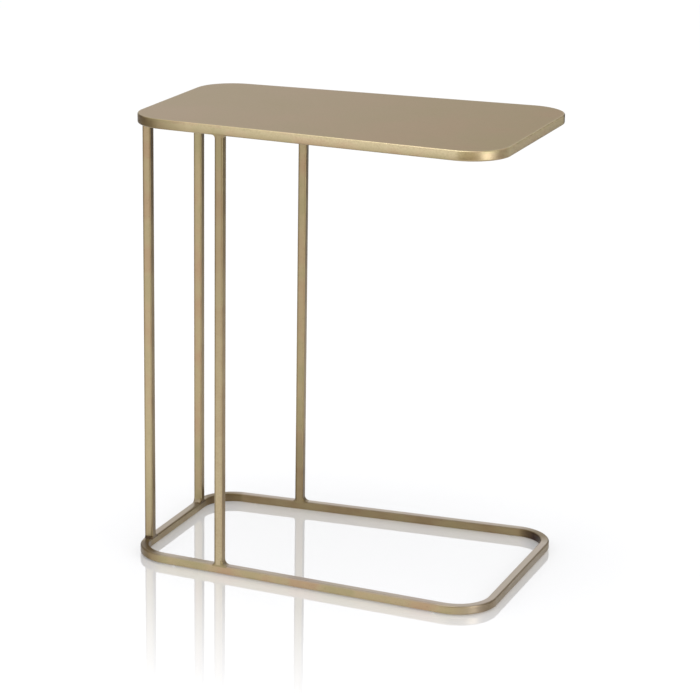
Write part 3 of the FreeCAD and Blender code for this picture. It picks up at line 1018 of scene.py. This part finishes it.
@dataclass
class SheetTop:
    """Flat sheet on the top ring, and the seam weld round its edge, ground flush and round."""

    outline: Outline
    height: float
    thickness: float
    tube_corner_radius: float
    rim: RimHighlightAndShade
    edge_setback: float = 2.0
    dressing_radius: float = 1.8
    # painted sheen on the sheet at the spine end, falling to none at the open end
    spine_end_sheen: float = 0.45
    round_pieces: int = 8

    def build(self) -> Pieces:
        """Make the sheet and its seam.

        Returns:
            The pieces.
        """
        return {"top_plate": self._sheet(), "top_edge_seam_weld": self._seam()}

    def _sheet(self) -> Piece:
        """Make the sheet: the outline at its two faces, joined by its edge.

        Returns:
            The sheet.
        """
        under = self.outline.loop(self.edge_setback, self.height - self.thickness).points
        count = len(under)
        points = np.vstack([under, under + self.thickness * Z_AXIS])
        here = np.arange(count)
        after = (here + 1) % count
        edge = np.stack([here, after, after + count, here + count], axis=-1).tolist()
        strips = self._strips(under)
        upper = [[k + count for k in strip] for strip in strips]
        lower = [strip[::-1] for strip in strips]
        half = self.outline.length / 2
        # painted sheen: the sheet greyer toward the spine end
        spine_sheen = follow(((-half, self.spine_end_sheen), (half, 0)), points[:, 0])
        return build_mesh("top_sheet", points, edge + upper + lower, marks={"bloom": spine_sheen})

    @staticmethod
    def _strips(outline: np.ndarray) -> list[list[int]]:
        """Cut the sheet into strips across the table, between opposite points of its outline.

        Args:
            outline: points round the sheet, of which the k-th and the k-th from the end are opposite.

        Returns:
            Vertex numbers of each strip, anticlockwise from above.
        """
        count = len(outline)
        at_open_end = outline[:, 0] > outline[:, 0].max() - TINY
        last = int(np.argmax(at_open_end))  # the open end's straight starts here
        middle = [[k, k + 1, count - k - 1, count - k] for k in range(2, last - 1)]
        return [[count - 2, count - 1, 0, 1, 2], *middle, list(range(last - 1, count - last + 2))]

    def _seam(self) -> Piece:
        """Make the seam: from the sheet's edge over the tube's corner, up the rim, round its edge and back.

        It meets the corner's arc at the angle a where r (1 - cos a) is the sheet's setback.

        Returns:
            The seam.
        """
        setback, dressing, corner = -self.edge_setback, self.dressing_radius, self.tube_corner_radius
        under = -self.thickness
        meets = math.acos(max(0.0, 1 + setback / corner))
        on_corner = (corner * (math.cos(meets) - 1), under + corner * (math.sin(meets) - 1))
        strokes = [
            line_stroke((setback, under), on_corner),
            arc_stroke((-corner, under - corner), corner, math.degrees(meets), 0, self.round_pieces),
            line_stroke((0.0, under - corner), (0.0, -dressing)),
            arc_stroke((-dressing, -dressing), dressing, 0, 90, self.round_pieces),
            line_stroke((-dressing, 0.0), (setback, 0.0)),
            line_stroke((setback, 0.0), (setback, under)),
        ]
        path = self.outline.loop(0.0, self.height)
        return sweep("top_edge_seam_bead", path, Section.from_strokes(strokes), self._marks)

    def _marks(self, path: Run, section: Section) -> Marks:
        """Marks: a painted highlight where the seam was ground round, the rim's painted shade, and darker on
        the narrow end's bends.

        Args:
            path: the rim's upper edge.
            section: the seam's section, whose x points out of the table and y up.

        Returns:
            Amounts by attribute name, (N, M).
        """
        out = clamp(1 + section.points[:, 0] / self.edge_setback)
        # painted highlight on the ground round edge, and the rim's painted shade
        rubbed, brown_and_shade = self.rim.amounts(path, -section.points[:, 1], out)
        bend_darkening = self.outline.narrow_end_darkening(path.points)[:, None] * out
        return {"rubbed": rubbed, "patina": 1 - (1 - bend_darkening) * (1 - brown_and_shade)}


# ---- studio ----


def card(name: str, corners: list[Place], material: Material) -> None:
    """Make a flat four-cornered part of the set.

    Args:
        name: its name.
        corners: its corners in order, in millimetres.
        material: what it is made of.
    """
    mesh = bpy.data.meshes.new(name)
    mesh.from_pydata((np.array(corners) * MM).tolist(), [], [(0, 1, 2, 3)])
    mesh.materials.append(material)
    stand(name, mesh)


@dataclass(frozen=True)
class Screen:
    """Cloth screen that stands on the floor for the brushed metal to mirror, clear to all other rays."""

    name: str
    start: Spot  # plan position of one foot
    end: Spot  # plan position of the other foot
    colour: str
    height: float = 1800.0

    def build(self) -> None:
        """Make the screen and its cloth."""
        material, tree = new_material(f"{self.name}_cloth")
        cloth = add(tree, "BsdfDiffuse", {"Color": linear(self.colour)})
        clear = add(tree, "BsdfTransparent")
        ray = add(tree, "LightPath")
        # sharp mirrors such as the floor give singular rays, brushed metal the other glossy ones
        blurred = {0: ray.outputs["Is Glossy Ray"], 1: ray.outputs["Is Singular Ray"]}
        seen = add(tree, "Math", blurred, operation="SUBTRACT", use_clamp=True)
        add(tree, "OutputMaterial", {"Surface": add(tree, "MixShader", {"Fac": seen, 1: clear, 2: cloth})})
        feet = [(*self.start, 0.0), (*self.end, 0.0)]
        card(self.name, [*feet, (*self.end, self.height), (*self.start, self.height)], material)


@dataclass(frozen=True)
class SoftBox:
    """Rectangular lamp."""

    name: str
    place: Place  # of its middle, in millimetres
    aim: Place  # the point that it faces
    size: Spot
    watts: float

    def build(self) -> None:
        """Make the lamp, level and turned to face its aim."""
        lamp = bpy.data.lights.new(self.name, "AREA")
        lamp.shape = "RECTANGLE"
        lamp.size, lamp.size_y = self.size[0] * MM, self.size[1] * MM
        lamp.energy = self.watts
        back = np.array(self.place) - np.array(self.aim)
        back /= np.linalg.norm(back)
        level = np.cross(Z_AXIS, back)
        level /= np.linalg.norm(level)
        stand(self.name, lamp, (level, np.cross(back, level), back), self.place)


@dataclass(frozen=True)
class Studio:
    """White floor and surroundings, two soft boxes, and cloth screens for the table's metal to mirror."""

    floor_half_width: float = 9000.0
    floor_colour: str = "D9D9DA"
    floor_lift: float = 0.355  # light that the floor adds of its own where it is looked at
    polish_tint: str = "F8F9FB"
    polish_ior: float = 2.4
    polish_full_at: float = 0.28  # Fresnel share from which the polish mirrors most
    polish_most: float = 0.45
    polish_oval: Spot = (680.0, 570.0)  # half length and half width of the polished part
    polish_even_at: float = 0.62  # height of the oval's gradient from which the polish is full
    sky_shown: float = 1.0
    sky_light: float = 0.94
    lamps: tuple[SoftBox, ...] = (
        SoftBox("overhead_softbox", (-220.0, -250.0, 2300.0), (0.0, 0.0, 300.0), (950.0, 750.0), 6.5),
        SoftBox("side_softbox", (2110.0, -980.0, 800.0), (230.0, -150.0, 500.0), (720.0, 1500.0), 8.0),
    )
    screens: tuple[Screen, ...] = (
        Screen("black_screen", (270.0, 1640.0), (460.0, 1422.0), "1E1C1B"),
        Screen("dark_screen", (460.0, 1422.0), (610.0, 1250.0), "9A958B"),
        Screen("pale_screen", (610.0, 1250.0), (945.0, 863.0), "E8E6E0"),
        Screen("grey_screen", (945.0, 863.0), (1330.0, 420.0), "C0BDB6"),
        Screen("side_screen", (1330.0, 420.0), (2050.0, -50.0), "A8A49C"),
        Screen("left_back_screen", (-1240.0, 900.0), (-1560.0, -380.0), "C8C2B8", 1500.0),
        Screen("left_front_screen", (-1560.0, -380.0), (-1330.0, -1130.0), "C8C2B8", 1500.0),
        Screen("front_screen", (-200.0, -2060.0), (1640.0, -1500.0), "B8AC88"),
    )

    def build(self) -> None:
        """Make the floor, the surroundings, the lamps and the screens."""
        self._floor()
        self._world()
        for part in (*self.lamps, *self.screens):
            part.build()

    def _floor(self) -> None:
        """Make the floor: polished white board, which mirrors the table faintly and is clear from below."""
        material, tree = new_material("polished_white_board")
        board = add(tree, "BsdfDiffuse", {"Color": linear(self.floor_colour)})
        seen = add(tree, "Math", {0: self._seen_as_backdrop(tree), 1: self.floor_lift}, operation="MULTIPLY")
        lift = add(tree, "Emission", {"Color": linear("FFFFFF"), "Strength": seen})
        lifted = add(tree, "AddShader", {0: board, 1: lift})
        polish = add(tree, "BsdfGlossy", {"Color": linear(self.polish_tint), "Roughness": 0.0})
        mirror = add(tree, "Fresnel", {"IOR": self.polish_ior})
        steepness = {"Value": mirror, "From Max": self.polish_full_at, "To Max": self.polish_most}
        share = add(tree, "MapRange", steepness)
        polished = add(tree, "Math", {0: share, 1: self._near(tree)}, operation="MULTIPLY")
        board_seen = add(tree, "MixShader", {"Fac": polished, 1: lifted, 2: polish})
        clear = add(tree, "BsdfTransparent")
        from_below = add(tree, "NewGeometry").outputs["Backfacing"]
        one_sided = add(tree, "MixShader", {"Fac": from_below, 1: board_seen, 2: clear})
        add(tree, "OutputMaterial", {"Surface": one_sided})
        reach = self.floor_half_width
        card("floor", [(x * reach, y * reach, 0) for x, y in [(-1, -1), (1, -1), (1, 1), (-1, 1)]], material)

    def _near(self, tree: Tree) -> Source:
        """Where the board is polished: fully under the table, falling to nothing at the edge of the oval.

        Args:
            tree: the board's node tree.

        Returns:
            The share, 0 to 1.
        """
        length, width = (per_metre(half) for half in self.polish_oval)
        oval = {"Vector": add(tree, "TexCoord").outputs["Object"], "Scale": (length, width, 0.0)}
        place = add(tree, "Mapping", oval)
        inside = add(tree, "TexGradient", {"Vector": place}, gradient_type="SPHERICAL").outputs["Fac"]
        return add(tree, "MapRange", {"Value": inside, "From Max": self.polish_even_at})

    def _world(self) -> None:
        """Light the set evenly, and show white to the camera, to polished metal and through glass."""
        world = bpy.data.worlds.new("white_surroundings")
        bpy.context.scene.world = world
        world.use_nodes = True
        tree = world.node_tree
        tree.nodes.clear()
        seen = self._seen_as_backdrop(tree)
        strength = add(tree, "MapRange", {"Value": seen, "To Min": self.sky_light, "To Max": self.sky_shown})
        sky = add(tree, "Background", {"Color": linear("FFFFFF"), "Strength": strength})
        add(tree, "OutputWorld", {"Surface": sky})

    @staticmethod
    def _seen_as_backdrop(tree: Tree) -> Source:
        """Tell the rays of the camera, of mirroring surfaces and through glass from those that gather light.

        Args:
            tree: the node tree.

        Returns:
            The source of 1 for the first and 0 for the others.
        """
        ray = add(tree, "LightPath")
        seen = ray.outputs["Is Camera Ray"]
        for kind in ("Is Glossy Ray", "Is Transmission Ray"):
            seen = add(tree, "Math", {0: seen, 1: ray.outputs[kind]}, operation="MAXIMUM")
        return seen


@dataclass(frozen=True)
class Viewpoint:
    """Camera of a square picture: place in millimetres, angles in radians, focal length in picture widths."""

    place: Place = (1241.365, -3196.912, 1272.703)
    turn: float = 0.368724  # to the left of looking along +Y
    dip: float = 0.279462  # below level
    roll: float = 0.015504
    focal_length_px: float = 2660.705
    picture_px: float = 700.0
    sensor_mm: float = 36.0
    sees_to_m: float = 100.0

    def build(self) -> None:
        """Make the camera and look through it."""
        cos, sin = math.cos, math.sin
        ahead = np.array([-sin(self.turn) * cos(self.dip), cos(self.turn) * cos(self.dip), -sin(self.dip)])
        level = np.array([cos(self.turn), sin(self.turn), 0.0])
        above = np.cross(level, ahead)
        right = level * cos(self.roll) + above * sin(self.roll)
        up = above * cos(self.roll) - level * sin(self.roll)
        data = bpy.data.cameras.new("camera")
        data.sensor_width = self.sensor_mm
        data.lens = self.sensor_mm * self.focal_length_px / self.picture_px
        data.clip_end = self.sees_to_m
        bpy.context.scene.camera = stand("camera", data, (right, up, -ahead), self.place)


# ---- the whole table ----


@dataclass
class SideTable:
    """The table: where its rings and uprights stand, how they aged, where shade and highlights are painted on
    them, and which finish each piece takes.
    """

    outline: Outline = field(default_factory=Outline)
    tube: SquareTube = field(default_factory=SquareTube)
    height: float = 610.0
    sheet_thickness: float = 1.2
    glide_height: float = 1.5
    side_upright_setback: float = 137.0
    end_upright_bend_gap: float = 0.5
    side_welds: tuple[WeldLegs, WeldLegs] = (WeldLegs(7.0, 2.5), WeldLegs(3.0, 4.5))  # foot and head
    end_welds: tuple[WeldLegs, WeldLegs] = (WeldLegs(6.0, 2.5), WeldLegs(3.0, 2.5))
    # each upright's brown, painted shade and painted highlight
    front: AgeingAndShade = AgeingAndShade(0.19, 0.2, 0.0, low_front_highlight=0.75, under_top=0.1, head_weld=0.0)
    back: AgeingAndShade = AgeingAndShade(0.08, 0.42, 0.25)
    end_front: AgeingAndShade = AgeingAndShade(0.07, 0.4, 0.15, low_front_highlight=0.3, bend_side=0.7)
    end_back: AgeingAndShade = AgeingAndShade(0.03, 0.42, 0.1, bend_side=0.7)

    def uprights(self) -> list[Upright]:
        """Work out where the uprights stand.

        Returns:
            The front and back uprights on the long rails, then the two on the spine end rail.
        """
        bottom = self.glide_height + self.tube.size
        top = self.height - self.sheet_thickness - self.tube.size
        side_x = self.side_upright_setback - self.outline.length / 2
        side_y = self.outline.half_width(self.side_upright_setback, self.tube.half())
        side_yaw = math.atan(self.outline.taper())
        end_x = self.tube.half() - self.outline.length / 2
        end_y = self.outline.bend_start() - self.end_upright_bend_gap - self.tube.half()
        stands = [
            ("front_upright", side_x, -side_y, -side_yaw, *self.side_welds, self.front),
            ("back_upright", side_x, side_y, side_yaw, *self.side_welds, self.back),
            ("end_upright_front", end_x, -end_y, math.pi / 2, *self.end_welds, self.end_front),
            ("end_upright_back", end_x, end_y, -math.pi / 2, *self.end_welds, self.end_back),
        ]
        return [Upright(*stand_at, bottom, top, self.tube, self.outline) for stand_at in stands]

    def build(self) -> Pieces:
        """Make every steel piece.

        Returns:
            The pieces.
        """
        outline, tube, rim = self.outline, self.tube, RimHighlightAndShade(self.sheet_thickness + self.tube.size)
        # painted shade on the base ring: inside it, deeper in its open bends, on its open end and on its back
        # bend
        base_shade = dict(open_end_shade=0.45, inner_shade=0.36, open_bend_inner_shade=1.0, far_bend_painted_shade=0.6)
        makers = [
            BentRing("base_ring", self.glide_height, outline, tube, **base_shade),
            *self.uprights(),
            # the top ring takes painted shade under its lower corner
            BentRing("top_ring", self.height - rim.thickness, outline, tube, rim, lower_shade=0.3),
            SheetTop(outline, self.height, self.sheet_thickness, tube.corner_radius, rim),
        ]
        return {node: piece for maker in makers for node, piece in maker.build().items()}

    @staticmethod
    def dress(pieces: Pieces) -> None:
        """Give each piece and each glide its finish, and hang the pieces on the frame.

        Args:
            pieces: the pieces.
        """
        # fine lines along the tube soften what it mirrors, and the gold drifts to olive and rose
        tube = AgedBrass(
            "antique_brass_plate_belt_brushed",
            gold="BAA884",
            olive="A89F77",
            rose="BA987C",
            grain=Grain.ALONG_TUBE,
            roughness=0.34,
            patina_patch_mm=45.0,
        ).build()
        # the sanded sheet has no direction: an even, duller and cooler sheen in wide patches
        sheet = AgedBrass(
            "antique_brass_plate_fine_sanded",
            gold="A79A83",
            # grey of the sheet's painted sheen
            grey="BDB3A8",
            olive="A59B80",
            rose="AD9784",
            edge_tint="D8CEC0",
            grain=Grain.ALL_WAYS,
            roughness=0.42,
            patina_patch_mm=110.0,
            drift=0.4,
        ).build()
        # the flap disc leaves the joints a little greener than the tubes, in small patches
        weld = AgedBrass(
            "antique_brass_plate_over_ground_weld",
            gold="B8A880",
            olive="A59A74",
            rose="B2947A",
            grain=Grain.ALL_WAYS,
            roughness=0.38,
            patina_patch_mm=14.0,
        ).build()
        # waxy off-white discs under the base, scuffed by the floor
        nylon = MouldedNylon().build()
        slots = {entry["node"]: entry["material_slot"] for entry in frame["record"]["subparts"]}
        finishes = {
            "antique_brass_tube": tube,
            "antique_brass_sheet": sheet,
            "dressed_weld": weld,
            "glide_nylon": nylon,
        }
        for node, piece in pieces.items():
            piece.data.materials.append(finishes[slots[node]])
            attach(piece, BODY)
            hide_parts(node)
            log.info("%s stands for %s, %d faces", piece.name, node, len(piece.data.polygons))
        for node, kept in frame["nodes"].items():
            if node in pieces:
                continue
            kept.material_slots[0].material = finishes[slots[node]]
            log.info("%s keeps its CAD shape", node)


def main() -> None:
    """Build the table, dress it, and set it in the studio."""
    logging.basicConfig(level=logging.INFO, format="%(name)s: %(message)s")
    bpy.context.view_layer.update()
    table = SideTable()
    table.dress(table.build())
    Studio().build()
    Viewpoint().build()
    bpy.context.scene.view_settings.view_transform = "Standard"


if __name__ == "__main__":
    main()
